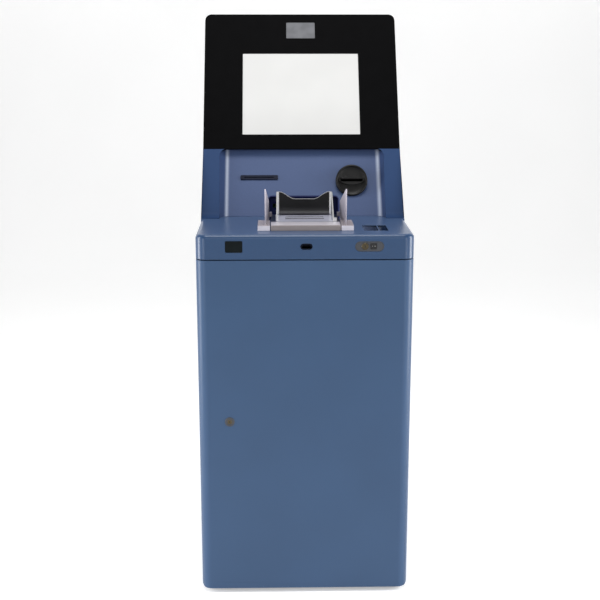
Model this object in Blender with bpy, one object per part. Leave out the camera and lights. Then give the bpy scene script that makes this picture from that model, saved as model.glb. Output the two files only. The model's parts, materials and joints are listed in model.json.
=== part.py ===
"""Cash deposit terminal: free-standing cabinet, note hopper shelf, leaning screen head."""
import math

import bmesh
import bpy

# Overall sizes, in metres
WIDTH = 0.550
DEPTH = 0.700
HEIGHT = 1.512

# Clearances and sheet
GAP = 0.0003          # assembly clearance between neighbouring pieces
SHEET = 0.002         # cabinet sheet
SHELL = 0.0025        # moulded console and fascia wall
PROUD = 0.0018        # collars and flanges standing out at the front and the back
OVER = 0.005          # how far a cutting tool runs past what it cuts

# Heights
FLOOR_GAP = 0.012
DOOR_TOP = 0.907
SHELF_TOP = 0.972
BREAK_Z = 1.145
CASSETTE_SHELF_Z = 0.440

# Depths behind the door's front plane
DOOR_DEEP = 0.065
PANEL_FRONT = 0.068
FRAME_FRONT = 0.0725
CHEEK_FOOT = 0.265
PANEL_FOOT = 0.291
BREAK_T = 0.400
CROWN_T = 0.620
SHELF_BACK = 0.310

# Corner radii
FRONT_RADIUS = 0.028
FOOT_RADIUS = 0.012
SHELF_RADIUS = 0.012
FILLET_RADIUS = 0.041
CROWN_RADIUS = 0.017

# Front door pivots and lock
PIVOT_X = 0.255
PIVOT_T = 0.025
PIVOT_RADIUS = 0.005
LOCK_X = -0.1945
LOCK_Z = 0.4825
PLUG_RADIUS = 0.006
BARREL_RADIUS = 0.0097

# Rear door
REAR_DEEP = 0.012
REAR_SEAM = 0.0021
REAR_TOP = 1.4892
STUD_RADIUS = 0.0025
REAR_LOCK_X = -0.240
REAR_LOCK_Z = 1.200

# Hopper on the shelf
HOPPER_X = 0.003
BED_HIGH = 0.014
BED_HALF = 0.0887
BED_FRONT = 0.057
BED_BACK = 0.235
PUSHER_TOP = 1.048
SCOOP_DEEP = 0.019
ROLLER_RADIUS = 0.008
ROLLER_FRONT_T = 0.167
ROLLER_REAR_T = 0.195
ROLLER_SHAFT = 0.0025
POCKET_HALF = 0.0985
POCKET_FRONT = 0.207
POCKET_TOP = 1.023
POCKET_BACK = 0.368

# Screen, slots and bezels
SCREEN_WIDE = 0.331
SCREEN_LOW = 1.1828
SCREEN_HIGH = 1.4019
CAMERA_X = 0.001
CAMERA_WIDE = 0.083
CAMERA_LOW = 1.4446
CAMERA_HIGH = 1.4891
RECEIPT_X = -0.1187
RECEIPT_Z = 1.068
CARD_X = 0.137
CARD_T = 0.337
CARD_Z = 1.065
CARD_SLOPE = 0.325
CARD_RADIUS = 0.044

# Inside
FAN_Z = 0.700
FAN_HALF = 0.060
FAN_DEEP = 0.025
INLET_X = 0.130
INLET_Z = 0.075
COMPUTER_X = -0.205
COMPUTER_WIDE = 0.120
BUTTON_Z = 0.290
CHUTE_FRONT = 0.400
CHUTE_BACK = 0.430

# What follows from those
HALF = WIDTH / 2
FRONT_Y = -DEPTH / 2 + PROUD
BACK = DEPTH - 2 * PROUD
BASE_TOP = FLOOR_GAP - GAP
BASE_LOW = BASE_TOP - 0.003
STAND = BASE_TOP + GAP
DECK_LOW = DOOR_TOP + GAP
DECK_TOP = DECK_LOW + SHEET
CONSOLE_LOW = DECK_TOP + GAP
HEAD_LOW = SHELF_TOP + GAP
SHELL_END = BACK - REAR_DEEP - REAR_SEAM
REAR_AXIS_X = HALF - REAR_DEEP / 2
REAR_AXIS_T = BACK - REAR_DEEP / 2
BED_TOP = SHELF_TOP + BED_HIGH
ROLLER_Z = BED_TOP + 0.0005 - ROLLER_RADIUS
INNER = HALF - SHEET - GAP
CHEEK_SLOPE = (BREAK_T - CHEEK_FOOT) / (BREAK_Z - SHELF_TOP)
FACE_SLOPE = (CROWN_T - BREAK_T) / (HEIGHT - BREAK_Z)


def clear_scene():
    for item in list(bpy.data.objects):
        bpy.data.objects.remove(item, do_unlink=True)


def mesh_object(name, points, faces):
    """A closed solid from points given as (x, depth behind the front plane, z)."""
    mesh = bpy.data.meshes.new(name)
    mesh.from_pydata([(x, t + FRONT_Y, z) for x, t, z in points], [], faces)
    work = bmesh.new()
    work.from_mesh(mesh)
    bmesh.ops.recalc_face_normals(work, faces=work.faces)
    work.to_mesh(mesh)
    work.free()
    made = bpy.data.objects.new(name, mesh)
    bpy.context.scene.collection.objects.link(made)
    return made


def loft(name, rings, closed=False):
    """Skin a row of rings that hold the same number of points."""
    count = len(rings[0])
    points = [point for ring in rings for point in ring]
    faces = []
    spans = len(rings) if closed else len(rings) - 1
    for row in range(spans):
        near = row * count
        far = ((row + 1) % len(rings)) * count
        for k in range(count):
            nxt = (k + 1) % count
            faces.append((near + k, near + nxt, far + nxt, far + k))
    if not closed:
        faces.append(tuple(range(count)))
        faces.append(tuple((len(rings) - 1) * count + k for k in range(count)))
    return mesh_object(name, points, faces)


def prism(name, axis, outline, low, high):
    """Push an outline along x, t or z between two stations."""
    rings = []
    for station in (low, high):
        if axis == "x":
            rings.append([(station, a, b) for a, b in outline])
        elif axis == "t":
            rings.append([(a, station, b) for a, b in outline])
        else:
            rings.append([(a, b, station) for a, b in outline])
    return loft(name, rings)


def box(name, x, t, z):
    return prism(name, "z", [(x[0], t[0]), (x[1], t[0]), (x[1], t[1]), (x[0], t[1])], z[0], z[1])


def circle(a, b, radius, sides=24):
    step = 2 * math.pi / sides
    return [(a + radius * math.cos(step * (k + 0.5)), b + radius * math.sin(step * (k + 0.5)))
            for k in range(sides)]


def rod(name, axis, centre, radius, low, high, sides=24):
    return prism(name, axis, circle(centre[0], centre[1], radius, sides), low, high)


def turned(name, axis, centre, profile, sides=24):
    """A solid turned about an axis; the profile lists (radius, station)."""
    rings = []
    for radius, station in profile:
        flat = circle(centre[0], centre[1], radius, sides)
        if axis == "x":
            rings.append([(station, a, b) for a, b in flat])
        elif axis == "t":
            rings.append([(a, station, b) for a, b in flat])
        else:
            rings.append([(a, b, station) for a, b in flat])
    return loft(name, rings)


def rounded(a, b, half_a, half_b, radius, steps=4):
    """A rectangle with rounded corners, centred on (a, b)."""
    points = []
    for turn, (sign_a, sign_b) in enumerate(((1, 1), (-1, 1), (-1, -1), (1, -1))):
        for k in range(steps + 1):
            angle = math.pi / 2 * (turn + k / steps)
            points.append((a + sign_a * (half_a - radius) + radius * math.cos(angle),
                           b + sign_b * (half_b - radius) + radius * math.sin(angle)))
    return points


def leaning(name, origin, slope, outline, low, high):
    """A prism standing off a leaning plane: outline (across, up the slope), heights outward."""
    length = math.hypot(slope, 1.0)
    up_t, up_z = slope / length, 1.0 / length
    rings = []
    for out in (low, high):
        rings.append([(origin[0] + a, origin[1] + b * up_t - out * up_z,
                       origin[2] + b * up_z + out * up_t) for a, b in outline])
    return loft(name, rings)


def lean_turned(name, origin, slope, profile, sides=48):
    """A turned solid whose axis stands square to a leaning plane."""
    length = math.hypot(slope, 1.0)
    up_t, up_z = slope / length, 1.0 / length
    rings = []
    for radius, out in profile:
        rings.append([(origin[0] + a, origin[1] + b * up_t - out * up_z,
                       origin[2] + b * up_z + out * up_t) for a, b in circle(0, 0, radius, sides)])
    return loft(name, rings)


def combine(target, others, operation):
    for other in others:
        change = target.modifiers.new(operation.lower(), "BOOLEAN")
        change.operation = operation
        change.solver = "EXACT"
        change.object = other
        graph = bpy.context.evaluated_depsgraph_get()
        fresh = bpy.data.meshes.new_from_object(target.evaluated_get(graph))
        target.modifiers.clear()
        target.data = fresh
        bpy.data.objects.remove(other, do_unlink=True)
    return target


def cut(target, *others):
    return combine(target, others, "DIFFERENCE")


def join(target, *others):
    return combine(target, others, "UNION")


def common(target, *others):
    return combine(target, others, "INTERSECT")


def finish(item, rgb, rough=0.5, metal=0.0, origin=None):
    """Give a piece its own material and, if it moves, an origin on its axis."""
    paint = bpy.data.materials.new(item.name + "_mat")
    paint.use_nodes = True
    shader = paint.node_tree.nodes["Principled BSDF"]
    shader.inputs["Base Color"].default_value = (rgb[0], rgb[1], rgb[2], 1.0)
    shader.inputs["Roughness"].default_value = rough
    shader.inputs["Metallic"].default_value = metal
    item.data.materials.clear()
    item.data.materials.append(paint)
    if origin is not None:
        x, y, z = origin[0], origin[1] + FRONT_Y, origin[2]
        for vertex in item.data.vertices:
            vertex.co.x -= x
            vertex.co.y -= y
            vertex.co.z -= z
        item.location = (x, y, z)
    return item


BLUE = (0.06, 0.11, 0.19)
NAVY = (0.01, 0.012, 0.05)
BLACK = (0.01, 0.01, 0.011)
DARK = (0.03, 0.03, 0.033)
STEEL = (0.55, 0.55, 0.56)
WHITE = (0.75, 0.75, 0.74)
GREEN = (0.02, 0.12, 0.05)
BRASS = (0.6, 0.42, 0.15)


def front_outline(inset, back):
    """Plan of the cabinet front: rounded corners, straight sides, open to the back."""
    half = HALF - inset
    radius = FRONT_RADIUS - inset
    points = [(half, back)]
    for turn, sign in ((0, 1), (1, -1)):
        for k in range(7):
            angle = math.pi / 2 * (k / 6 if turn == 0 else 1 - k / 6)
            points.append((sign * (half - radius + radius * math.cos(angle)),
                           inset + radius - radius * math.sin(angle)))
    points.append((-half, back))
    return points


def door_front(inset, low, high):
    """Front view of the door: small rounded lower corners."""
    half = HALF - inset
    radius = FOOT_RADIUS - inset
    points = [(half, high), (-half, high)]
    for sign in (-1, 1):
        for k in range(5):
            angle = math.pi / 2 * (k / 4 if sign < 0 else 1 - k / 4)
            points.append((sign * (half - radius + radius * math.cos(angle)),
                           low + radius - radius * math.sin(angle)))
    return points


def cabinet_frame():
    plan = [(-0.262, 0.012), (0.262, 0.012), (0.262, PANEL_FRONT), (HALF, PANEL_FRONT),
            (HALF, BACK), (-HALF, BACK), (-HALF, PANEL_FRONT), (-0.262, PANEL_FRONT)]
    base = prism("base_plate", "z", plan, BASE_LOW, BASE_TOP)
    feet = [(side * 0.235, t) for side in (-1, 1) for t in (0.100, 0.640)]
    tools = [rod("tool", "z", foot, 0.005 + GAP, 0, 0.05) for foot in feet]
    tools.append(rod("tool", "z", (PIVOT_X, PIVOT_T), PIVOT_RADIUS + GAP, 0, 0.05))
    finish(cut(base, *tools), DARK, 0.5, 0.6)
    for number, foot in enumerate(feet, 1):
        pad_top = BASE_LOW - GAP
        profile = [(0.019, 0), (0.020, 0.001), (0.020, pad_top - 0.002), (0.015, pad_top),
                   (0.005, pad_top), (0.005, 0.032)]
        item = turned("foot_%d" % number, "z", foot, profile, 20)
        finish(join(item, rod("nut", "z", foot, 0.0095, STAND, 0.021, 6)), DARK, 0.6)
    for word, side in (("left", -1), ("right", 1)):
        panel = box("side_panel_" + word, sorted((side * HALF, side * (HALF - SHEET))),
                    (PANEL_FRONT, BACK), (STAND, DOOR_TOP))
        finish(panel, BLUE, 0.45)
    lower_back()
    ring = box("front_frame", (-INNER, INNER), (FRAME_FRONT, FRAME_FRONT + SHEET), (STAND, DOOR_TOP))
    cut(ring, prism("tool", "t", rounded(0, 0.455, 0.230, 0.400, 0.015), 0, 0.2))
    web = box("web", (-0.250, -0.247), (0.0205, FRAME_FRONT + 0.001), (LOCK_Z - 0.06, LOCK_Z + 0.06))
    lip = box("lip", (-0.2485, -0.224), (0.0205, 0.0235), (LOCK_Z - 0.06, LOCK_Z + 0.06))
    finish(join(ring, web, lip), STEEL, 0.4, 0.8)
    deck_plan = [(-0.262, 0.012), (0.262, 0.012), (0.262, PANEL_FRONT), (HALF - 0.0005, PANEL_FRONT),
                 (HALF - 0.0005, BACK), (0.0005 - HALF, BACK), (0.0005 - HALF, PANEL_FRONT),
                 (-0.262, PANEL_FRONT)]
    deck = prism("deck_plate", "z", deck_plan, DECK_LOW, DECK_TOP)
    cut(deck, rod("tool", "z", (PIVOT_X, PIVOT_T), PIVOT_RADIUS + GAP, 0.9, 0.95),
        box("tool", (-0.095, 0.095), (CHUTE_FRONT, CHUTE_BACK), (0.9, 0.95)),
        prism("tool", "z", rounded(-0.18, 0.60, 0.03, 0.02, 0.008), 0.9, 0.95))
    stud = rod("stud", "z", (REAR_AXIS_X, REAR_AXIS_T), STUD_RADIUS, DECK_LOW + 0.0005, 0.918, 16)
    finish(join(deck, stud), DARK, 0.5, 0.6)


def lower_back():
    """Fixed back panel with the fan grille, the mains cut-out and a cable hole."""
    panel = box("lower_back_panel", (-INNER, INNER), (BACK - SHEET, BACK), (STAND, DOOR_TOP))
    tools = []
    for row in range(-4, 5):
        reach = math.sqrt(0.052 ** 2 - (row * 0.012) ** 2)
        tools.append(prism("tool", "t", rounded(0, FAN_Z + row * 0.012, reach, 0.003, 0.0024, 2),
                           BACK - OVER, BACK + OVER))
    tools.append(box("tool", (INLET_X - 0.031, INLET_X + 0.031), (BACK - OVER, BACK + OVER),
                     (INLET_Z - 0.0155, INLET_Z + 0.0155)))
    for row in range(4):
        tools.append(prism("tool", "t", rounded(0, 0.20 + row * 0.016, 0.090, 0.003, 0.0024, 2),
                           BACK - OVER, BACK + OVER))
    finish(cut(panel, *tools), BLUE, 0.45)


def front_door():
    """A deep pan with rounded front corners, hung on two pivot pins."""
    pan = prism("lower_door", "z", front_outline(0, DOOR_DEEP), FLOOR_GAP, DOOR_TOP)
    common(pan, prism("tool", "t", door_front(0, FLOOR_GAP, DOOR_TOP), -OVER, 0.1))
    hollow = prism("tool", "z", front_outline(SHEET, DOOR_DEEP + OVER), FLOOR_GAP + SHEET, DOOR_TOP - SHEET)
    common(hollow, prism("tool", "t", door_front(SHEET, FLOOR_GAP + SHEET, DOOR_TOP - SHEET), -OVER, 0.1))
    cut(pan, hollow, rod("tool", "z", (PIVOT_X, PIVOT_T), PIVOT_RADIUS + GAP, 0, 0.02),
        rod("tool", "z", (PIVOT_X, PIVOT_T), PIVOT_RADIUS + GAP, 0.9, 0.92),
        rod("tool", "t", (LOCK_X, LOCK_Z), BARREL_RADIUS + GAP, -OVER, 0.01))
    finish(pan, BLUE, 0.45, 0, (PIVOT_X, PIVOT_T, FLOOR_GAP))
    pin = (PIVOT_X, PIVOT_T)
    head_top = BASE_LOW - GAP
    lower = turned("lower_pivot_pin", "z", pin, [(0.008, 0.0035), (0.009, 0.0045), (0.009, head_top),
                                                 (PIVOT_RADIUS, head_top), (PIVOT_RADIUS, 0.024)], 20)
    finish(lower, STEEL, 0.3, 0.9)
    upper = turned("upper_pivot_pin", "z", pin, [(PIVOT_RADIUS, 0.894), (PIVOT_RADIUS, DECK_TOP + GAP),
                                                 (0.009, DECK_TOP + GAP), (0.009, 0.9135),
                                                 (0.008, 0.9145)], 20)
    finish(upper, STEEL, 0.3, 0.9)
    barrel = turned("door_lock_barrel", "t", (LOCK_X, LOCK_Z),
                    [(0.0118, -PROUD), (0.0125, -PROUD + 0.0007), (0.0125, -GAP),
                     (BARREL_RADIUS, -GAP), (BARREL_RADIUS, 0.0215)])
    join(barrel, rod("nut", "t", (LOCK_X, LOCK_Z), 0.0135, SHEET + GAP, SHEET + GAP + 0.004, 6))
    cut(barrel, rod("tool", "t", (LOCK_X, LOCK_Z), PLUG_RADIUS + GAP, -0.01, 0.03))
    finish(barrel, STEEL, 0.25, 0.9)
    plug = rod("door_lock_plug", "t", (LOCK_X, LOCK_Z), PLUG_RADIUS, -0.0012, 0.0230)
    arm = prism("arm", "t", rounded(LOCK_X, LOCK_Z - 0.018, 0.007, 0.027, 0.0065, 3), 0.0245, 0.0275)
    join(plug, rod("stud", "t", (LOCK_X, LOCK_Z), 0.0045, 0.022, 0.0300), arm)
    cut(plug, box("tool", (LOCK_X - 0.0006, LOCK_X + 0.0006), (-0.01, 0.005),
                  (LOCK_Z - 0.0036, LOCK_Z + 0.0036)))
    finish(plug, BRASS, 0.35, 0.9, (LOCK_X, 0, LOCK_Z))


def cassette():
    """The shelf in the safe, the note cassette on it and the chute from above."""
    low = CASSETTE_SHELF_Z
    profile = [(0.100, low - 0.025), (0.102, low - 0.025), (0.102, low - SHEET), (0.658, low - SHEET),
               (0.658, low - 0.025), (0.660, low - 0.025), (0.660, low), (0.100, low)]
    finish(prism("cassette_shelf", "x", profile, -INNER, INNER), STEEL, 0.4, 0.8)
    z0 = low + GAP
    z1 = 0.620
    case = box("cash_cassette", (-0.120, 0.120), (0.130, 0.550), (z0, z1))
    cut(case, box("tool", (-0.117, 0.117), (0.133, 0.547), (z0 + 0.003, z1 - 0.003)))
    cut(case, box("tool", (-0.092, 0.092), (CHUTE_FRONT + 0.003, CHUTE_BACK - 0.003), (z1 - 0.006, z1 + 0.01)))
    pivot_z = 0.565
    pivot_t = 0.121
    for side in (-1, 1):
        lug = prism("lug", "x", [(0.1305, pivot_z - 0.012), (0.1305, pivot_z + 0.012),
                                 (pivot_t - 0.002, pivot_z + 0.006), (pivot_t - 0.006, pivot_z),
                                 (pivot_t - 0.002, pivot_z - 0.006)],
                    side * 0.058 - 0.003, side * 0.058 + 0.003)
        join(case, lug)
        cut(case, rod("tool", "x", (pivot_t, pivot_z), 0.0033, side * 0.058 - 0.008, side * 0.058 + 0.008, 16))
    finish(case, DARK, 0.5)
    rungs = []
    path = [(-0.063, 0), (-0.050, 0), (-0.050, -0.045), (0.050, -0.045), (0.050, 0), (0.063, 0)]
    for number, (x, drop) in enumerate(path):
        before = path[max(number - 1, 0)]
        after = path[min(number + 1, len(path) - 1)]
        one = (before[0] - x, before[1] - drop)
        two = (after[0] - x, after[1] - drop)
        flat = []
        for dx, dz in (one, two):
            size = math.hypot(dx, dz)
            flat.append((dx / size, dz / size) if size > 0 else None)
        if flat[0] is None:
            side = (0, 1)
        elif flat[1] is None:
            side = (0, 1)
        else:
            along = (flat[1][0] - flat[0][0], flat[1][1] - flat[0][1])
            size = math.hypot(*along)
            side = (-along[1] / size * math.sqrt(2), along[0] / size * math.sqrt(2))
        ring = []
        for k in range(8):
            angle = math.pi / 4 * (k + 0.5)
            across = 0.003 * math.cos(angle)
            ring.append((x + side[0] * across, pivot_t + 0.003 * math.sin(angle),
                         pivot_z + drop + side[1] * across))
        rungs.append(ring)
    handle = loft("cassette_handle", rungs)
    finish(handle, STEEL, 0.3, 0.9, (0, pivot_t, pivot_z))
    chute = box("drop_chute", (-0.095, 0.095), (CHUTE_FRONT, CHUTE_BACK), (z1 + GAP, DECK_LOW - GAP))
    cut(chute, box("tool", (-0.093, 0.093), (CHUTE_FRONT + SHEET, CHUTE_BACK - SHEET), (0.6, 0.95)))
    finish(chute, STEEL, 0.4, 0.8)


def electronics():
    """Computer, mains parts and fan in the lower cabinet."""
    x1 = COMPUTER_X + COMPUTER_WIDE
    case = box("computer", (COMPUTER_X, x1), (0.150, 0.500), (STAND, 0.330))
    tools = [rod("tool", "t", (COMPUTER_X + 0.060, BUTTON_Z), 0.0083, 0.14, 0.158, 16)]
    for row in range(5):
        tools.append(box("tool", (COMPUTER_X + 0.025, x1 - 0.025), (0.14, 0.153),
                         (0.080 + row * 0.012, 0.085 + row * 0.012)))
    finish(cut(case, *tools), DARK, 0.5)
    button = turned("power_button", "t", (COMPUTER_X + 0.060, BUTTON_Z),
                    [(0.0070, 0.1470), (0.0080, 0.1480), (0.0080, 0.1555)], 16)
    finish(button, STEEL, 0.4, 0.5, (COMPUTER_X + 0.060, 0.1470, BUTTON_Z))
    front = BACK - SHEET - GAP - FAN_DEEP
    frame = prism("exhaust_fan_frame", "t", rounded(0, FAN_Z, FAN_HALF, FAN_HALF, 0.006, 2),
                  front, front + FAN_DEEP)
    cut(frame, rod("tool", "t", (0, FAN_Z), 0.0565, front - 0.01, front + 0.05, 40))
    hub = rod("hub", "t", (0, FAN_Z), 0.018, front + 0.0205, front + FAN_DEEP)
    join(hub, rod("axle", "t", (0, FAN_Z), 0.002, front + 0.004, front + 0.022, 12))
    for turn in range(3):
        angle = math.radians(30 + 120 * turn)
        c, s = math.cos(angle), math.sin(angle)
        bar = [(c * r - s * w, FAN_Z + s * r + c * w)
               for r, w in ((0.015, -0.003), (0.0575, -0.003), (0.0575, 0.003), (0.015, 0.003))]
        join(hub, prism("bar", "t", bar, front + 0.0210, front + 0.0245))
    finish(join(frame, hub), BLACK, 0.5)
    rotor = turned("fan_rotor", "t", (0, FAN_Z), [(0.016, front + 0.001), (0.018, front + 0.003),
                                                  (0.018, front + 0.0195)])
    for turn in range(7):
        angle = 2 * math.pi * turn / 7
        rings = []
        for r, twist in ((0.0165, 0.0065), (0.036, 0.0060), (0.0540, 0.0048)):
            ring = []
            for w, t in ((-0.0100, twist), (-0.0090, twist + 0.0008), (0.0100, 0.0008 - twist),
                         (0.0090, -twist)):
                c, s = math.cos(angle), math.sin(angle)
                w = w * (0.55 + r / 0.054 * 0.45)
                ring.append((c * r - s * w, front + 0.0110 + t * 0.9, FAN_Z + s * r + c * w))
            rings.append(ring)
        join(rotor, loft("blade", rings))
    cut(rotor, rod("tool", "t", (0, FAN_Z), 0.002 + GAP, front + 0.003, front + 0.03, 12))
    finish(rotor, BLACK, 0.5, 0, (0, front + 0.0110, FAN_Z))
    mains()


def mains():
    """Inlet socket and rocker switch in one housing set into the back panel."""
    housing = box("mains_inlet", (INLET_X - 0.0305, INLET_X + 0.0305), (BACK - 0.030, BACK + GAP + 0.0005),
                  (INLET_Z - 0.015, INLET_Z + 0.015))
    flange = prism("flange", "t", rounded(INLET_X, INLET_Z, 0.036, 0.019, 0.004, 3),
                   BACK + GAP, BACK + PROUD)
    join(housing, flange)
    cut(housing, prism("tool", "t", [(INLET_X + 0.002, INLET_Z - 0.010), (INLET_X + 0.026, INLET_Z - 0.010),
                                     (INLET_X + 0.026, INLET_Z + 0.005), (INLET_X + 0.021, INLET_Z + 0.010),
                                     (INLET_X + 0.007, INLET_Z + 0.010), (INLET_X + 0.002, INLET_Z + 0.005)],
                       BACK - 0.016, BACK + OVER))
    for dx, dz in ((0.007, -0.003), (0.014, 0.003), (0.021, -0.003)):
        join(housing, box("blade", (INLET_X + dx - 0.001, INLET_X + dx + 0.001), (BACK - 0.017, BACK - 0.003),
                          (INLET_Z + dz - 0.002, INLET_Z + dz + 0.002)))
    cut(housing, box("tool", (INLET_X - 0.027, INLET_X - 0.009), (BACK - 0.014, BACK + OVER),
                     (INLET_Z - 0.0115, INLET_Z + 0.0115)))
    finish(housing, BLACK, 0.5)
    pivot_t = BACK - 0.0065
    tilt = math.radians(8)
    outline = []
    for a, b in ((-0.0030, -0.0095), (0.0045, -0.0102), (0.0030, 0.0), (0.0045, 0.0102), (-0.0030, 0.0095)):
        outline.append((pivot_t + a * math.cos(tilt) - b * math.sin(tilt),
                        INLET_Z + a * math.sin(tilt) + b * math.cos(tilt)))
    rocker = prism("mains_switch", "x", outline, INLET_X - 0.0267, INLET_X - 0.0093)
    finish(rocker, (0.5, 0.05, 0.04), 0.4, 0, (INLET_X - 0.018, pivot_t, INLET_Z))


def panel_t(z):
    """Depth of the fascia panel's front at a height."""
    return PANEL_FOOT + (z - SHELF_TOP) * CHEEK_SLOPE


def console():
    """The moulded shelf with its rounded front, cut out for everything it carries."""
    r = SHELF_RADIUS
    outer = [[(x, t, CONSOLE_LOW) for x, t in front_outline(0, 0.300)]]
    inner = [[(x, t, CONSOLE_LOW - OVER) for x, t in front_outline(SHELL, 0.300)]]
    for k in range(6):
        angle = math.pi / 2 * k / 5
        z = SHELF_TOP - r + r * math.sin(angle)
        outer.append([(x, t, z) for x, t in front_outline(r - r * math.cos(angle), 0.300)])
        z = SHELF_TOP - r + (r - SHELL) * math.sin(angle)
        inner.append([(x, t, z) for x, t in front_outline(r - (r - SHELL) * math.cos(angle), 0.300)])
    shell = loft("console_shell", outer)
    join(shell, box("rear", (-HALF, HALF), (0.247, SHELL_END), (CONSOLE_LOW, SHELF_TOP)))
    wall = HALF - SHELL
    cut(shell, loft("tool", inner),
        box("tool", (-wall, wall), (0.260, BACK), (CONSOLE_LOW - OVER, SHELF_TOP - SHELL)))
    cut(shell, box("tool", (-wall, wall), (SHELF_BACK, BACK), (SHELF_TOP - 0.01, SHELF_TOP + OVER)),
        box("tool", (HOPPER_X - 0.080, HOPPER_X + 0.080), (0.065, 0.215), (0.96, 0.98)),
        box("tool", (HOPPER_X - POCKET_HALF, HOPPER_X + POCKET_HALF), (POCKET_FRONT, SHELF_BACK + OVER),
            (0.96, 0.98)),
        box("tool", (0.1515, 0.1885), (0.058, 0.143), (0.96, 0.98)),
        box("tool", (0.1915, 0.2135), (0.058, 0.143), (0.96, 0.98)))
    band = SHELF_TOP - 0.030
    for x, half_x, half_z, radius in ((-0.1784, 0.0218, 0.0149, 0.003), (0.0032, 0.0155, 0.0078, 0.0077),
                                      (0.1612, 0.0364, 0.0130, 0.0129)):
        cut(shell, prism("tool", "t", rounded(x, band, half_x, half_z, radius), -OVER, 0.010))
    finish(shell, BLUE, 0.45)

    pane = box("shelf_window", (0.147, 0.218), (0.054, 0.147),
               (SHELF_TOP - SHELL - GAP - 0.002, SHELF_TOP - SHELL - GAP))
    finish(pane, (0.03, 0.05, 0.09), 0.1)
    back_t = SHELL + GAP
    code = prism("code_reader_window", "t", rounded(-0.1784, band, 0.0215, 0.0146, 0.003), 0.0006, 0.0045)
    join(code, prism("flange", "t", rounded(-0.1784, band, 0.026, 0.019, 0.004), back_t, 0.005))
    finish(code, (0.01, 0.02, 0.025), 0.1)
    socket = prism("centre_socket", "t", rounded(0.0032, band, 0.0152, 0.0075, 0.0074), 0.0004, 0.016)
    join(socket, prism("flange", "t", rounded(0.0032, band, 0.020, 0.012, 0.010), back_t, 0.006))
    cut(socket, prism("tool", "t", rounded(0.0032, band, 0.0105, 0.0042, 0.0035), -OVER, 0.012))
    finish(socket, BLACK, 0.3)
    plate = prism("lock_plate", "t", rounded(0.1612, band, 0.0361, 0.0127, 0.0126), 0.0010, 0.0045)
    join(plate, prism("flange", "t", rounded(0.1612, band, 0.041, 0.0175, 0.016), back_t, 0.005))
    cut(plate, rod("tool", "t", (0.150, band), 0.0090, -OVER, 0.02),
        prism("tool", "t", rounded(0.1713, band, 0.0084, 0.0078, 0.002), -OVER, 0.02))
    finish(plate, DARK, 0.3, 0.3)
    key = turned("key_lock_plug", "t", (0.150, band), [(0.0080, -0.0006), (0.0087, 0.0002), (0.0087, 0.0210)])
    cut(key, box("tool", (0.1494, 0.1506), (-0.01, 0.006), (band - 0.0040, band + 0.0040)))
    finish(key, BRASS, 0.35, 0.9, (0.150, 0, band))
    sensor = prism("presence_sensor", "t", rounded(0.1713, band, 0.0081, 0.0075, 0.002), 0.0004, 0.012)
    for x in (0.1672, 0.1757):
        join(sensor, turned("lens", "t", (x, band), [(0.0012, -0.0006), (0.0022, -0.0001),
                                                     (0.0026, 0.0012)], 16))
    finish(sensor, BLACK, 0.2)


def hopper():
    """Note bed, feed rollers, side guides and the sliding pusher."""
    hx = HOPPER_X
    base = box("hopper_base", (hx - BED_HALF, hx + BED_HALF), (BED_FRONT, BED_BACK), (HEAD_LOW, BED_TOP))
    cut(base, box("tool", (hx - BED_HALF + SHEET, hx + BED_HALF - SHEET),
                  (BED_FRONT + SHEET, BED_BACK - SHEET), (HEAD_LOW - OVER, BED_TOP - SHEET)))
    tools = [box("tool", (hx - 0.0715, hx + 0.0715), (0.1150, 0.1175), (BED_TOP - 0.0012, BED_TOP + OVER))]
    for t in (ROLLER_FRONT_T, ROLLER_REAR_T):
        tools.append(box("tool", (hx - 0.0515, hx + 0.0515), (t - 0.0064, t + 0.0064),
                         (BED_TOP - 0.006, BED_TOP + OVER)))
        tools.append(rod("tool", "x", (t, ROLLER_Z), ROLLER_SHAFT + GAP, hx - 0.1, hx + 0.1, 16))
    finish(cut(base, *tools), STEEL, 0.25, 0.9)
    for word, t in (("front", ROLLER_FRONT_T), ("rear", ROLLER_REAR_T)):
        shaft = ROLLER_SHAFT
        profile = [(shaft, hx - 0.0880), (shaft, hx - 0.0508), (ROLLER_RADIUS, hx - 0.0500),
                   (ROLLER_RADIUS, hx + 0.0500), (shaft, hx + 0.0508), (shaft, hx + 0.0602),
                   (0.0050, hx + 0.0605), (0.0050, hx + 0.0685), (shaft, hx + 0.0688),
                   (shaft, hx + 0.0880)]
        finish(turned("feed_roller_" + word, "x", (t, ROLLER_Z), profile, 20), DARK, 0.7, 0,
               (hx, t, ROLLER_Z))
    middle_t = (ROLLER_FRONT_T + ROLLER_REAR_T) / 2
    half_pitch = (ROLLER_REAR_T - ROLLER_FRONT_T) / 2
    wheel_radius = 0.010
    wheel_z = ROLLER_Z - math.sqrt((wheel_radius + 0.0050 + 0.0003) ** 2 - half_pitch ** 2)
    wheel = rod("drive_wheel", "x", (middle_t, wheel_z), wheel_radius, hx + 0.0607, hx + 0.0683)
    cut(wheel, rod("tool", "x", (middle_t, wheel_z), 0.0018, hx + 0.05, hx + 0.08, 12))
    finish(wheel, DARK, 0.7, 0, (hx + 0.0645, middle_t, wheel_z))
    motor = rod("feed_motor", "x", (middle_t, wheel_z), 0.0065, hx + 0.010, hx + 0.056, 20)
    join(motor, box("tab", (hx + 0.012, hx + 0.054), (middle_t - 0.002, middle_t + 0.002),
                    (wheel_z + 0.005, BED_TOP - SHEET - GAP)),
         rod("shaft", "x", (middle_t, wheel_z), 0.0015, hx + 0.055, hx + 0.0700, 12))
    finish(motor, STEEL, 0.4, 0.8)
    liner_and_validator(hx)
    pusher(hx)
    for word, side in (("left", -1), ("right", 1)):
        guide(word, side, hx)


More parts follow.
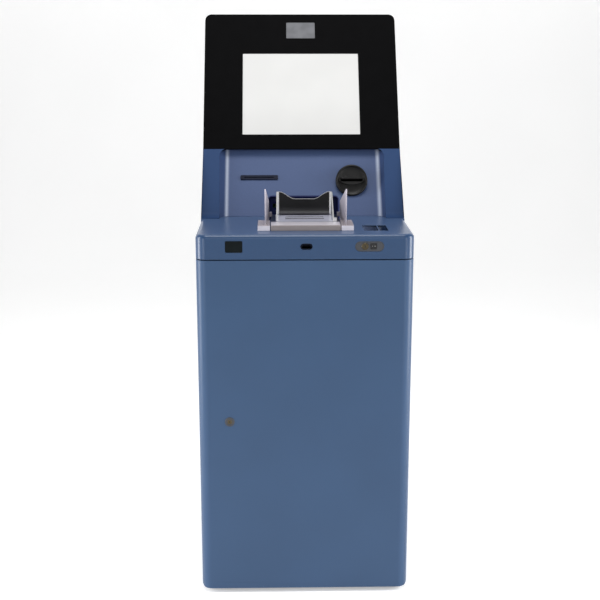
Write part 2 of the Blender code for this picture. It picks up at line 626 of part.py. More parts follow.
def liner_and_validator(hx):
    low = 0.950
    top = POCKET_TOP - GAP
    rim = SHELF_TOP - 0.0002
    outline = [(POCKET_FRONT + 0.0003, low), (POCKET_BACK, low), (POCKET_BACK, top),
               (panel_t(top) + 0.001, top), (panel_t(rim) + 0.001, rim), (POCKET_FRONT + 0.0003, rim)]
    half = POCKET_HALF - GAP
    liner = prism("pocket_liner", "x", outline, hx - half, hx + half)
    middle = top / 2 + 0.45
    common(liner, prism("tool", "t", rounded(hx, middle, half, top - middle, 0.011 - GAP), 0.2, 0.4))
    hollow = prism("tool", "t", rounded(hx, middle, half - SHEET, top - SHEET - middle, 0.009 - GAP),
                   POCKET_FRONT + 0.0023, POCKET_BACK - SHEET)
    common(hollow, box("tool", (-0.2, 0.2), (0.1, 0.5), (low + SHEET, top)))
    cut(liner, hollow,
        box("tool", (hx - 0.085, hx + 0.085), (POCKET_BACK - OVER, POCKET_BACK + OVER), (0.984, 0.996)))
    finish(liner, NAVY, 0.4)
    box_front = POCKET_BACK + GAP
    validator = box("note_validator", (hx - 0.095, hx + 0.095), (box_front, 0.620), (CONSOLE_LOW, 1.030))
    cut(validator, box("tool", (hx - 0.085, hx + 0.085), (box_front - OVER, 0.425), (0.984, 0.996)),
        box("tool", (hx - 0.085, hx + 0.085), (0.405, 0.425), (0.90, 0.990)))
    finish(validator, GREEN, 0.5)


def scoop(hx, low, drop):
    """Outline of the pusher plate: straight sides and a hollow top edge."""
    half = 0.0720
    top = PUSHER_TOP - drop
    shoulder, floor = 0.93, 0.34
    points = [(hx - half, low), (hx + half, low), (hx + half, top)]
    for k in range(1, 26):
        share = 1 - k / 13
        fall = min(max((shoulder - abs(share)) / (shoulder - floor), 0), 1)
        points.append((hx + half * share, top - SCOOP_DEEP * (0.5 - 0.5 * math.cos(math.pi * fall))))
    points.append((hx - half, top))
    return points


def pusher(hx):
    low = BED_TOP + 0.0010
    frame = prism("pusher_frame", "t", scoop(hx, low, 0), 0.2326, 0.2340)
    for side in (-1, 1):
        arm = [(0.1170, BED_TOP + GAP), (0.2340, BED_TOP + GAP), (0.2340, PUSHER_TOP), (0.2220, PUSHER_TOP),
               (0.1170, BED_TOP + 0.006)]
        lows = sorted((hx + side * 0.0715, hx + side * 0.0745))
        join(frame, prism("arm", "x", arm, lows[0], lows[1]))
    join(frame, box("hook", (hx + 0.0740, hx + 0.0815), (0.1190, 0.1230), (BED_TOP + GAP, BED_TOP + 0.0100)))
    finish(frame, STEEL, 0.25, 0.9, (hx, 0.2340, BED_TOP + GAP))
    front, rear, bend = 0.2300, 0.2323, 0.0150
    half = 0.0672
    outline = [(front, 1.06), (rear, 1.06)]
    for radius, order in ((bend + rear - front, 1), (bend, -1)):
        for k in range(6)[::order]:
            angle = math.pi / 2 * k / 6
            outline.append((front - bend + radius * math.cos(angle), low + bend + rear - front
                            - radius * math.sin(angle)))
    plate = prism("pusher_plate", "x", outline, hx - half, hx + half)
    common(plate, prism("tool", "t", scoop(hx, low - 0.001, 0.0012), 0.20, 0.25))
    finish(plate, BLACK, 0.35, 0, (hx, front, low))


def guide(word, side, hx):
    foot = sorted((hx + side * 0.0910, hx + side * 0.1220))
    item = box("guide_" + word, foot, (BED_FRONT, 0.143), (HEAD_LOW, BED_TOP))
    profile = [(0.0600, HEAD_LOW + 0.002), (0.2000, HEAD_LOW + 0.002), (0.2000, 1.0270),
               (0.1300, 1.0530), (0.0600, 1.0785)]
    rings = []
    for offset in (0, 0.003):
        ring = []
        for t, z in profile:
            inner = 0.1010 - (t - 0.060) * 0.0073 / 0.140
            ring.append((hx + side * (inner + offset), t, z))
        rings.append(ring)
    tab = sorted((hx + side * 0.0860, hx + side * 0.0950))
    join(item, loft("fin", rings), box("tab", tab, (0.1920, 0.1980), (BED_TOP + 0.001, BED_TOP + 0.013)))
    finish(item, WHITE, 0.4, 0, (hx + side * 0.0910, BED_FRONT, HEAD_LOW))


def crown_outline(inset, low):
    """Front view of the head: straight sides and rounded top corners."""
    half = HALF - inset
    radius = CROWN_RADIUS - inset
    top = HEIGHT - inset
    points = [(-half, low), (half, low)]
    for sign in (1, -1):
        for k in range(5):
            angle = math.pi / 2 * (k / 4 if sign > 0 else 1 - k / 4)
            points.append((sign * (half - radius + radius * math.cos(angle)),
                           top - radius + radius * math.sin(angle)))
    return points


def unit(slope):
    length = math.hypot(slope, 1.0)
    return slope / length, 1.0 / length


def face_back(z, depth):
    """Depth of a line lying this far behind the black face."""
    up_t, up_z = unit(FACE_SLOPE)
    return BREAK_T + up_z * depth + (z - BREAK_Z + up_t * depth) * FACE_SLOPE


def cheek_line(z, back=0.0):
    return CHEEK_FOOT + (z - SHELF_TOP) * CHEEK_SLOPE + back


def cheeks():
    """Bent sheet across the head's lower front, open in the middle for the niche."""
    up_t, up_z = unit(CHEEK_SLOPE)
    face_t, face_z = unit(FACE_SLOPE)
    plate = 0.006
    start = math.asin(0.007 / FILLET_RADIUS)
    finish_angle = math.atan2(1.0, CHEEK_SLOPE)
    centre_t = CHEEK_FOOT - FILLET_RADIUS * math.tan(finish_angle / 2)
    outline = [(centre_t + 0.007, HEAD_LOW)]
    for k in range(6):
        angle = start + (finish_angle - start) * k / 5
        outline.append((centre_t + FILLET_RADIUS * math.sin(angle),
                        SHELF_TOP + FILLET_RADIUS * (1 - math.cos(angle))))
    jog = (BREAK_T + face_z * (plate + GAP), BREAK_Z - face_t * (plate + GAP))
    tip = (jog[0] + face_t * 0.020, jog[1] + face_z * 0.020)
    outline.append((BREAK_T - up_t * GAP, BREAK_Z - up_z * GAP))
    outline.append((jog[0] - face_t * GAP, jog[1] - face_z * GAP))
    outline.append(tip)
    outline.append((tip[0] + face_z * SHEET, tip[1] - face_t * SHEET))
    outline.append((jog[0] + face_z * SHEET - face_t * SHEET, jog[1] - face_t * SHEET - face_z * SHEET))
    outline.append((BREAK_T + up_z * SHEET - up_t * SHEET, BREAK_Z - up_t * SHEET - up_z * SHEET))
    outline.append((cheek_line(HEAD_LOW, SHEET / up_z), HEAD_LOW))
    frame = prism("cheek_frame", "x", outline, -HALF, HALF)
    for side in (-1, 1):
        lows = sorted((side * (HALF - SHEET - 0.0005), side * (HALF + OVER)))
        cut(frame, prism("tool", "x", [(0.4006, 1.150), (0.4006, 1.134), (0.44, 1.134), (0.44, 1.18)],
                         lows[0], lows[1]))
    opening = [(-0.2249, 0.95), (0.2249, 0.95)]
    radius = 0.020
    for sign in (1, -1):
        for k in range(6):
            angle = math.pi / 2 * (k / 5 if sign > 0 else 1 - k / 5)
            opening.append((sign * (0.229 - radius + radius * math.cos(angle)),
                            BREAK_Z + 0.0005 - radius + radius * math.sin(angle)))
    cut(frame, prism("tool", "t", opening, 0.2, 0.5))
    finish(frame, BLUE, 0.45)


def fascia():
    """Niche panel: flat floor, drafted walls with soft fillets, lips behind the cheeks."""
    middle_a, middle_s, bend = -0.0220, 0.0110, 0.0150
    wall_angle = math.radians(34)
    front = [(0.0100, 0.0032), (0.0010, 0.0032)]
    rear = [(0.0100, 0.0057), (0.0024, 0.0057)]
    for k in range(7):
        angle = wall_angle + (math.pi / 2 - wall_angle) * k / 6
        c, s = math.cos(angle), math.sin(angle)
        front.append((middle_a + bend * c, middle_s + bend * s))
        rear.append((middle_a + (bend + SHELL) * c, middle_s + (bend + SHELL) * s))
    rings = []
    for z, half in ((HEAD_LOW, 0.225), (1.160, 0.2293)):
        ring = [(half + a, s) for a, s in front]
        ring += [(-half - a, s) for a, s in reversed(front)]
        ring += [(-half - a, s) for a, s in rear]
        ring += [(half + a, s) for a, s in reversed(rear)]
        rings.append([(x, cheek_line(z, s), z) for x, s in ring])
    panel = loft("fascia_panel", rings)
    cut(panel, prism("tool", "x", [(0.36, 1.1375), (panel_t(1.1375) - 0.0035, 1.1375),
                                   (panel_t(1.18) - 0.0035, 1.18), (0.36, 1.18)], -0.3, 0.3))
    join(panel, prism("ledge", "x", [(face_back(1.1432, 0.0090), 1.1432), (panel_t(1.1432) + 0.001, 1.1432),
                                     (panel_t(1.1452) + 0.001, 1.1452), (face_back(1.1452, 0.0090), 1.1452)],
                      -0.2200, 0.2200))
    cut(panel, prism("tool", "t", rounded(HOPPER_X, (0.95 + POCKET_TOP) / 2, POCKET_HALF,
                                          (POCKET_TOP - 0.95) / 2, 0.011), 0.28, 0.37))
    receipt = (RECEIPT_X, panel_t(RECEIPT_Z), RECEIPT_Z)
    card = (CARD_X, CARD_T, CARD_Z)
    cut(panel, leaning("tool", receipt, CHEEK_SLOPE, rounded(0, 0, 0.0463, 0.0043, 0.0018, 2), -0.01, 0.01),
        leaning("tool", card, CARD_SLOPE, rounded(0, 0, 0.0323, 0.0053, 0.0018, 2), -0.06, 0.01))
    finish(panel, BLUE, 0.45)

    bezel = leaning("receipt_bezel", receipt, CHEEK_SLOPE, rounded(0, 0, 0.052, 0.007, 0.003), GAP, 0.0032)
    join(bezel, leaning("throat", receipt, CHEEK_SLOPE, rounded(0, 0, 0.046, 0.004, 0.0015, 2), -0.0018, 0.001))
    cut(bezel, leaning("tool", receipt, CHEEK_SLOPE, rounded(0, 0, 0.0415, 0.0012, 0.0011, 2), -0.02, 0.02))
    finish(bezel, BLACK, 0.3)
    profile = [(CARD_RADIUS, -0.060), (CARD_RADIUS, -0.0030), (CARD_RADIUS - 0.0012, -0.0008),
               (CARD_RADIUS - 0.0035, 0.0), (CARD_RADIUS - 0.0052, -0.0008), (CARD_RADIUS - 0.0062, -0.0040),
               (0.0300, -0.0070), (0.0150, -0.0080), (0.0040, -0.0082)]
    drum = lean_turned("card_bezel", card, CARD_SLOPE, profile, 40)
    foot = (CARD_X, panel_t(CARD_Z), CARD_Z)
    behind = [(-0.1, -0.1), (0.1, -0.1), (0.1, 0.1), (-0.1, 0.1)]
    cut(drum, leaning("tool", foot, CHEEK_SLOPE, behind, -0.15, GAP))
    eye = []
    for k in range(12):
        across = -0.0345 + 0.069 * k / 11
        eye.append((across, -0.0022 - 0.0105 * (1 - (across / 0.0350) ** 2)))
    eye += [(across, -height) for across, height in reversed(eye)]
    join(drum, leaning("eye", card, CARD_SLOPE, eye, -0.0100, -0.0012),
         leaning("throat", card, CARD_SLOPE, rounded(0, 0, 0.032, 0.005, 0.0015, 2), -0.0285, -0.015))
    flare = []
    for out, half_a, half_b in ((-0.0070, 0.0300, 0.0012), (0.0010, 0.0335, 0.0052)):
        up_t, up_z = unit(CARD_SLOPE)
        flare.append([(card[0] + a, card[1] + b * up_t - out * up_z, card[2] + b * up_z + out * up_t)
                      for a, b in rounded(0, 0, half_a, half_b, 0.0010, 2)])
    cut(drum, loft("tool", flare),
        leaning("tool", card, CARD_SLOPE, rounded(0, 0, 0.0290, 0.0013, 0.0010, 2), -0.06, 0.02))
    finish(drum, DARK, 0.35)
    reader = leaning("card_reader", card, CARD_SLOPE, rounded(0, 0, 0.036, 0.018, 0.002, 2), -0.130, -0.0314)
    cut(reader, leaning("tool", card, CARD_SLOPE, rounded(0, 0, 0.0290, 0.0015, 0.0010, 2), -0.120, 0.01))
    finish(reader, STEEL, 0.4, 0.8)
    printer()


def printer():
    """Receipt printer with its drop-in paper roll and platen."""
    low, high = 1.046, 1.115
    rest = SHELL + 0.0006
    body = prism("receipt_printer", "x", [(panel_t(low) + rest, low), (0.500, low), (0.500, high),
                                          (panel_t(high) + rest, high)], RECEIPT_X - 0.045, RECEIPT_X + 0.045)
    roll = (0.464, 1.084)
    platen = (0.420, 1.0603)
    wide = (RECEIPT_X - 0.0402, RECEIPT_X + 0.0402)
    cut(body, rod("tool", "x", roll, 0.0262, wide[0], wide[1], 32),
        box("tool", wide, (roll[0] - 0.0262, roll[0] + 0.0262), (roll[1], high + OVER)),
        box("tool", wide, (0.36, roll[0] - 0.012), (1.0655, 1.0695)),
        rod("tool", "x", platen, 0.0056, wide[0], wide[1], 20),
        rod("tool", "x", platen, 0.0023, RECEIPT_X - 0.0450 - OVER, RECEIPT_X + 0.0450 + OVER, 12))
    join(body, rod("spindle", "x", roll, 0.0057, wide[0] - 0.001, wide[1] + 0.001, 20))
    finish(body, DARK, 0.5)
    paper = rod("paper_roll", "x", roll, 0.0255, RECEIPT_X - 0.0395, RECEIPT_X + 0.0395, 32)
    cut(paper, rod("tool", "x", roll, 0.0060, RECEIPT_X - 0.05, RECEIPT_X + 0.05, 20))
    finish(paper, (0.85, 0.84, 0.80), 0.8, 0, (RECEIPT_X, roll[0], roll[1]))
    drum = turned("platen_roller", "x", platen, [(0.0020, RECEIPT_X - 0.0445), (0.0020, RECEIPT_X - 0.0400),
                                                 (0.0052, RECEIPT_X - 0.0398), (0.0052, RECEIPT_X + 0.0398),
                                                 (0.0020, RECEIPT_X + 0.0400), (0.0020, RECEIPT_X + 0.0445)], 16)
    finish(drum, BLACK, 0.8, 0, (RECEIPT_X, platen[0], platen[1]))


def head():
    """Side and roof sheet, the black face with its screen and camera, and the rear door."""
    side = [(cheek_line(HEAD_LOW, 0.0029), HEAD_LOW), (cheek_line(1.138, 0.0029), 1.138),
            (face_back(1.138, 0.0063), 1.138), (face_back(HEIGHT + OVER, 0.0063), HEIGHT + OVER),
            (BACK, HEIGHT + OVER), (BACK, REAR_TOP + GAP), (SHELL_END, REAR_TOP + GAP),
            (SHELL_END, HEAD_LOW)]
    shell = prism("head_shell", "t", crown_outline(0, HEAD_LOW), 0.2, BACK)
    cut(shell, prism("tool", "t", crown_outline(SHEET, HEAD_LOW - OVER), 0.1, BACK + OVER))
    common(shell, prism("tool", "x", side, -HALF - OVER, HALF + OVER))
    edge = HALF - SHEET / 2
    join(shell, prism("closing", "t", crown_outline(0.0005, REAR_TOP + GAP), BACK - SHEET, BACK),
         box("ledge", (-edge, edge), (BACK - 0.024, BACK - SHEET / 2), (REAR_TOP + GAP, REAR_TOP + GAP + SHEET)),
         rod("stud", "z", (REAR_AXIS_X, REAR_AXIS_T), STUD_RADIUS, 1.480, REAR_TOP + 0.0015, 16),
         box("lip", (-edge, -0.255), (SHELL_END - SHEET, SHELL_END), (REAR_LOCK_Z - 0.08, REAR_LOCK_Z + 0.08)))
    finish(shell, BLUE, 0.45)
    cheeks()
    fascia()
    plate = prism("head_face", "x", [(BREAK_T, BREAK_Z), (CROWN_T, HEIGHT), (face_back(HEIGHT, 0.006), HEIGHT),
                                     (face_back(BREAK_Z - unit(FACE_SLOPE)[0] * 0.006, 0.006),
                                      BREAK_Z - unit(FACE_SLOPE)[0] * 0.006)], -HALF, HALF)
    common(plate, prism("tool", "t", crown_outline(0, 1.0), 0.3, 0.8))
    stretch = 1 / unit(FACE_SLOPE)[1]
    screen_z = (SCREEN_LOW + SCREEN_HIGH) / 2
    screen = (0, face_back(screen_z, 0), screen_z)
    tall = (SCREEN_HIGH - SCREEN_LOW) / 2 * stretch
    wide = SCREEN_WIDE / 2
    camera_z = (CAMERA_LOW + CAMERA_HIGH) / 2
    camera = (CAMERA_X, face_back(camera_z, 0), camera_z)
    cam_tall = (CAMERA_HIGH - CAMERA_LOW) / 2 * stretch
    cam_wide = CAMERA_WIDE / 2
    cut(plate, leaning("tool", screen, FACE_SLOPE, rounded(0, 0, wide, tall, 0.002, 2), -0.02, 0.02),
        leaning("tool", camera, FACE_SLOPE, rounded(0, 0, cam_wide, cam_tall, 0.002, 2), -0.02, 0.02))
    finish(plate, BLACK, 0.4)
    glass = leaning("touch_screen", screen, FACE_SLOPE,
                    rounded(0, 0, wide - GAP, tall - GAP, 0.0018, 2), -0.0058, -0.0010)
    finish(glass, WHITE, 0.2)
    back = leaning("display_panel", screen, FACE_SLOPE, rounded(0, 0, wide + 0.007, tall + 0.006, 0.004, 2),
                   -0.030, -0.0063)
    finish(back, STEEL, 0.4, 0.8)
    window = leaning("camera_window", camera, FACE_SLOPE,
                     rounded(0, 0, cam_wide - GAP, cam_tall - GAP, 0.0018, 2), -0.0030, -0.0005)
    finish(window, (0.2, 0.2, 0.21), 0.2)
    unit_body = leaning("camera_module", camera, FACE_SLOPE, rounded(0, 0, 0.046, 0.029, 0.003, 2),
                        -0.028, -0.0063)
    join(unit_body, lean_turned("lens", camera, FACE_SLOPE, [(0.007, -0.010), (0.007, -0.0042),
                                                             (0.005, -0.0034)], 20))
    finish(unit_body, BLACK, 0.4)
    rear_door()


def rear_door():
    door = box("rear_door", (-HALF, HALF), (BACK - REAR_DEEP, BACK), (CONSOLE_LOW, REAR_TOP))
    inner = HALF - SHEET
    cut(door, box("tool", (-inner, inner), (BACK - REAR_DEEP - OVER, BACK - SHEET),
                  (CONSOLE_LOW + SHEET, REAR_TOP - SHEET)))
    tools = [rod("tool", "z", (REAR_AXIS_X, REAR_AXIS_T), STUD_RADIUS + GAP, z - 0.01, z + 0.01, 16)
             for z in (CONSOLE_LOW, REAR_TOP)]
    tools.append(rod("tool", "t", (REAR_LOCK_X, REAR_LOCK_Z), 0.0083, BACK - 0.01, BACK + OVER))
    for row in range(5):
        tools.append(prism("tool", "t", rounded(0, 1.360 + row * 0.014, 0.080, 0.003, 0.0024, 2),
                           BACK - 0.01, BACK + OVER))
    cut(door, *tools)
    finish(door, BLUE, 0.45, 0, (REAR_AXIS_X, REAR_AXIS_T, CONSOLE_LOW))
    spot = (REAR_LOCK_X, REAR_LOCK_Z)
    barrel = turned("rear_lock_barrel", "t", spot, [(0.0080, BACK - 0.0172), (0.0080, BACK + GAP),
                                                    (0.0100, BACK + GAP), (0.0100, BACK + PROUD - 0.0004),
                                                    (0.0094, BACK + PROUD)], 20)
    join(barrel, rod("nut", "t", spot, 0.0110, BACK - SHEET - GAP - 0.0035, BACK - SHEET - GAP, 6))
    cut(barrel, rod("tool", "t", spot, 0.0053, BACK - 0.03, BACK + 0.01))
    finish(barrel, STEEL, 0.25, 0.9)
    plug = rod("rear_lock_plug", "t", spot, 0.0050, BACK - 0.0176, BACK + 0.0012)
    join(plug, prism("arm", "t", rounded(spot[0], spot[1] - 0.011, 0.006, 0.016, 0.0055, 3),
                     BACK - 0.0205, BACK - 0.0180), rod("stud", "t", spot, 0.004, BACK - 0.0215, BACK - 0.017, 16))
    cut(plug, box("tool", (spot[0] - 0.0006, spot[0] + 0.0006), (BACK - 0.004, BACK + 0.01),
                  (spot[1] - 0.003, spot[1] + 0.003)))
    finish(plug, BRASS, 0.35, 0.9, (spot[0], BACK, spot[1]))


clear_scene()
cabinet_frame()
front_door()
cassette()
electronics()
console()
hopper()
head()
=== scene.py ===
# %% [markdown]
# # A cash deposit terminal
#
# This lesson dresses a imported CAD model: a tall blue cabinet with a note hopper on its shelf and a
# leaning screen head. The CAD gives every piece its place, so each new piece here takes its size
# from the box of a CAD node. Lengths are in metres, apart from the camera's lens and sensor, which
# are in millimetres. Z is up, and the user stands on the -Y side.

# %% Load the frame
import json
import math

import bmesh
import bpy
from mathutils import Matrix, Vector


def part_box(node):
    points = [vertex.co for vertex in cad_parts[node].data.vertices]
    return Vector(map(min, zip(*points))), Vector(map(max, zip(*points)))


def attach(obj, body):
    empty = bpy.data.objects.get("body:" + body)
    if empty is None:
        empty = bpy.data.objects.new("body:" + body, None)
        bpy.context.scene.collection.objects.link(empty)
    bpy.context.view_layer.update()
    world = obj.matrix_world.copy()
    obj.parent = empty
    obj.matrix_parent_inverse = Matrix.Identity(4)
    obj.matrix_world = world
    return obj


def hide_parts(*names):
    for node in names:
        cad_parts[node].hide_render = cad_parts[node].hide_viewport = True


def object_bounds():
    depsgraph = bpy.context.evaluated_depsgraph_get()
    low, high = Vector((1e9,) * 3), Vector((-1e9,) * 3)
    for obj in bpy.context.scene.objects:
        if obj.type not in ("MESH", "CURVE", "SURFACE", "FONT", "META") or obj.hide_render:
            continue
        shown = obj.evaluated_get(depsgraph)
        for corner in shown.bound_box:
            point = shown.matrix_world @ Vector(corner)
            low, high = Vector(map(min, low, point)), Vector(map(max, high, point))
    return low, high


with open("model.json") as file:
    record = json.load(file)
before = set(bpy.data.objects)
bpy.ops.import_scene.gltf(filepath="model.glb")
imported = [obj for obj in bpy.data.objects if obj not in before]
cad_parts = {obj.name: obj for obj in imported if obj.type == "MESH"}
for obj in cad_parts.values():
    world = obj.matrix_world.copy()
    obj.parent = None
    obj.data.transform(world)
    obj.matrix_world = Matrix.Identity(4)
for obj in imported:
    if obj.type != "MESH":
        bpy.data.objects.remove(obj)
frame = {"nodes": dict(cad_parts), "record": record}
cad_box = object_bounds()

nodes = frame["nodes"]
record = frame["record"]
body_of = {}
for body_name, node_names in record["behaviour"]["bodies"].items():
    for node_name in node_names:
        body_of[node_name] = body_name
print("loaded", len(nodes), "nodes; box", [[round(v, 3) for v in corner] for corner in cad_box])

# %% [markdown]
# ## Camera
#
# The machine is looked at by a standing adult from a few steps away: the lens is long, the eye is
# at head height and a little left of the middle, and the view tips down. A small turn to the
# right brings the machine to the middle of the picture, so no lens shift is needed.

# %% Camera
EYE_HEIGHT = 1.467
EYE_DISTANCE = 2.776
EYE_SIDE = -0.0716
TILT_DOWN = math.radians(13.4)
TURN_RIGHT = math.radians(1.21)
SENSOR_WIDTH = 36
FOCAL_LENGTH = 67.92

front_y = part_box("lower_door")[0][1]
camera_data = bpy.data.cameras.new("camera")
camera_data.sensor_width = SENSOR_WIDTH
camera_data.lens = FOCAL_LENGTH
camera = bpy.data.objects.new("camera", camera_data)
bpy.context.scene.collection.objects.link(camera)
camera.location = (EYE_SIDE, front_y - EYE_DISTANCE, EYE_HEIGHT)
camera.rotation_euler = (math.pi / 2 - TILT_DOWN, 0, -TURN_RIGHT)
bpy.context.scene.camera = camera
print("lens", round(camera_data.lens, 1), "mm, camera at", tuple(round(v, 3) for v in camera.location))

# %% [markdown]
# ## Node helpers for materials
#
# Every finish here is a small node tree on Object coordinates: a pattern sits still on the metal
# and its scale is the real one. The helpers make a material, add a noise, turn a noise into a
# height for bump, and mix two colours by a mask.

# %% Material helpers
def new_material(name, roughness, metallic=0.0):
    material = bpy.data.materials.new(name)
    material.use_nodes = True
    shader = material.node_tree.nodes["Principled BSDF"]
    shader.inputs["Roughness"].default_value = roughness
    shader.inputs["Metallic"].default_value = metallic
    return material, shader


def add_node(material, kind, **sockets):
    node = material.node_tree.nodes.new(kind)
    for socket, value in sockets.items():
        node.inputs[socket.replace("_", " ")].default_value = value
    return node


def wire(material, start, start_socket, end, end_socket):
    material.node_tree.links.new(start.outputs[start_socket], end.inputs[end_socket])


def object_noise(material, scale, detail=2.0, stretch=(1, 1, 1)):
    """Noise on Object coordinates; stretch makes it finer along an axis."""
    place = add_node(material, "ShaderNodeTexCoord")
    mapping = add_node(material, "ShaderNodeMapping")
    mapping.inputs["Scale"].default_value = stretch
    noise = add_node(material, "ShaderNodeTexNoise", Scale=scale, Detail=detail)
    wire(material, place, "Object", mapping, "Vector")
    wire(material, mapping, "Vector", noise, "Vector")
    return noise


def add_bump(material, shader, source, strength, distance):
    bump = add_node(material, "ShaderNodeBump", Strength=strength, Distance=distance)
    wire(material, source, 0, bump, "Height")
    wire(material, bump, "Normal", shader, "Normal")


def mix_colours(material, shader, mask, first, second):
    """Base colour that runs from first to second over the middle of the mask's range."""
    ramp = add_node(material, "ShaderNodeValToRGB")
    ramp.color_ramp.elements[0].position = 0.35
    ramp.color_ramp.elements[0].color = (*first, 1)
    ramp.color_ramp.elements[1].position = 0.65
    ramp.color_ramp.elements[1].color = (*second, 1)
    wire(material, mask, 0, ramp, "Fac")
    wire(material, ramp, "Color", shader, "Base Color")
    return ramp


def from_screen(red, green, blue):
    """Linear colour of a value read off a screen, 0 to 255."""
    return tuple(((v / 255 + 0.055) / 1.055) ** 2.4 if v > 10 else v / 255 / 12.92
                 for v in (red, green, blue))


def shade(colour, amount):
    return tuple(v * amount for v in colour)


# %% [markdown]
# ## Finishes
#
# The cabinet is powder coated: a soft sheen, a very fine orange peel and a hardly visible
# cloudiness. The head's black face, the locks, the pocket and the bezels are moulded plastic with
# a finer grain, and the inside is bare zinc steel, grey paint and black plastic.

# %% Painted and moulded finishes
def powder_coat(name, colour, roughness, glint):
    material, shader = new_material(name, roughness)
    shader.inputs["Specular IOR Level"].default_value = glint
    cloud = object_noise(material, 5.0, 3.0)
    mix_colours(material, shader, cloud, shade(colour, 0.965), shade(colour, 1.035))
    peel = object_noise(material, 620.0, 1.0)
    add_bump(material, shader, peel, 0.10, 0.0002)
    return material


def moulded(name, colour, roughness=0.45, grain=900.0, depth=0.00012, glint=0.35):
    material, shader = new_material(name, roughness)
    shader.inputs["Specular IOR Level"].default_value = glint
    cloud = object_noise(material, 30.0, 2.0)
    mix_colours(material, shader, cloud, shade(colour, 0.93), shade(colour, 1.07))
    texture = object_noise(material, grain, 2.0)
    add_bump(material, shader, texture, 0.25, depth)
    return material


def rolled_metal(name, colour, roughness, stretch, lines=260.0, strength=0.12):
    """Metal with rolling or brushing lines; stretch is small along the lines."""
    material, shader = new_material(name, roughness, 1.0)
    streak = object_noise(material, lines, 3.0, stretch)
    mix_colours(material, shader, streak, shade(colour, 0.86), shade(colour, 1.06))
    add_bump(material, shader, streak, strength, 0.00006)
    return material


blue_paint = powder_coat("cabinet_blue", from_screen(50, 75, 107), 0.36, 0.30)
# The cheeks take a darker copy of the cabinet blue, as painted shade on their leaning faces.
cheek_shaded_blue = powder_coat("cheek_shaded_blue", from_screen(38, 60, 96), 0.45, 0.08)
inside_paint = powder_coat("inside_grey", from_screen(52, 54, 58), 0.6, 0.2)
face_black = moulded("face_black", from_screen(8, 8, 9), 0.55, 1400.0, 0.00004, 0.02)
black_plastic = moulded("black_plastic", from_screen(24, 24, 26), 0.45)
drum_black = moulded("drum_black", from_screen(14, 14, 14), 0.34, 900.0, 0.00005, 0.25)
lock_grey = moulded("lock_grey", from_screen(60, 62, 67), 0.4)
bezel_navy = moulded("bezel_navy", from_screen(10, 16, 36), 0.4, 900.0, 0.00005, 0.08)
navy_plastic = moulded("navy_plastic", from_screen(36, 44, 92), 0.5, 900.0, 0.00006, 0.15)
socket_black = moulded("socket_black", from_screen(4, 9, 24), 0.4, 900.0, 0.00004, 0.1)
rubber = moulded("black_rubber", from_screen(32, 32, 33), 0.75, 500.0, 0.0003)
paper = moulded("receipt_paper", from_screen(236, 234, 226), 0.85, 300.0, 0.00003)
red_plastic = moulded("red_plastic", from_screen(170, 32, 26), 0.3)
green_case = moulded("green_case", from_screen(44, 92, 62), 0.5)
bright_edge = rolled_metal("bright_steel", from_screen(235, 235, 236), 0.28, (0.05, 1, 1), 500.0, 0.04)
zinc = rolled_metal("zinc_steel", from_screen(188, 190, 192), 0.38, (1, 1, 0.06))
brass = rolled_metal("lock_brass", from_screen(88, 80, 64), 0.34, (1, 1, 1), 900.0)

# %% [markdown]
# ## Finishes and painted light that change along an axis
#
# Some pieces are coloured in zones, and most zones are painted light. The fascia has a painted
# highlight down each side of its niche and painted shade on the niche's walls, and the shelf's top is
# painted lighter than its front edge, as painted light and shade. The hopper's bed is satin silver
# with a painted highlight on its front land, a painted brown reflection on its lip, a darker grey step
# and painted shade on its side runners. The note guides' feet are painted white on the front and beige
# on top as painted light, their satin grey fins are darker towards the bottom, and the pusher's foot
# is lighter. A ramp on one object coordinate puts each zone where it belongs.

# %% Zoned finishes and painted light
def zones(name, axis, stops, roughness, glint=0.4, lines=(0.1, 1, 1)):
    """A finish or painted light whose colour follows stops of (metres, colour) along one axis."""
    material, shader = new_material(name, roughness)
    shader.inputs["Specular IOR Level"].default_value = glint
    place = add_node(material, "ShaderNodeTexCoord")
    parts = add_node(material, "ShaderNodeSeparateXYZ")
    wire(material, place, "Object", parts, "Vector")
    low, high = stops[0][0], stops[-1][0]
    share = add_node(material, "ShaderNodeMapRange")
    share.inputs["From Min"].default_value = low
    share.inputs["From Max"].default_value = high
    wire(material, parts, axis, share, "Value")
    ramp = add_node(material, "ShaderNodeValToRGB")
    marks = ramp.color_ramp.elements
    while len(marks) < len(stops):
        marks.new(0.5)
    for mark, (position, colour) in zip(marks, stops):
        mark.position = (position - low) / (high - low)
        mark.color = (*colour, 1)
    wire(material, share, "Result", ramp, "Fac")
    streak = object_noise(material, 300.0, 2.0, lines)
    tint = add_node(material, "ShaderNodeMapRange")
    tint.inputs["To Min"].default_value = 0.9
    tint.inputs["To Max"].default_value = 1.1
    wire(material, streak, 0, tint, "Value")
    product = add_node(material, "ShaderNodeVectorMath")
    product.operation = "MULTIPLY"
    wire(material, ramp, "Color", product, 0)
    wire(material, tint, "Result", product, 1)
    wire(material, product, 0, shader, "Base Color")
    add_bump(material, shader, streak, 0.05, 0.00005)
    return material


def beyond(material, source, socket, value):
    """1 where a number is greater than a value, else 0."""
    test = add_node(material, "ShaderNodeMath")
    test.operation = "GREATER_THAN"
    test.inputs[1].default_value = value
    wire(material, source, socket, test, 0)
    return test


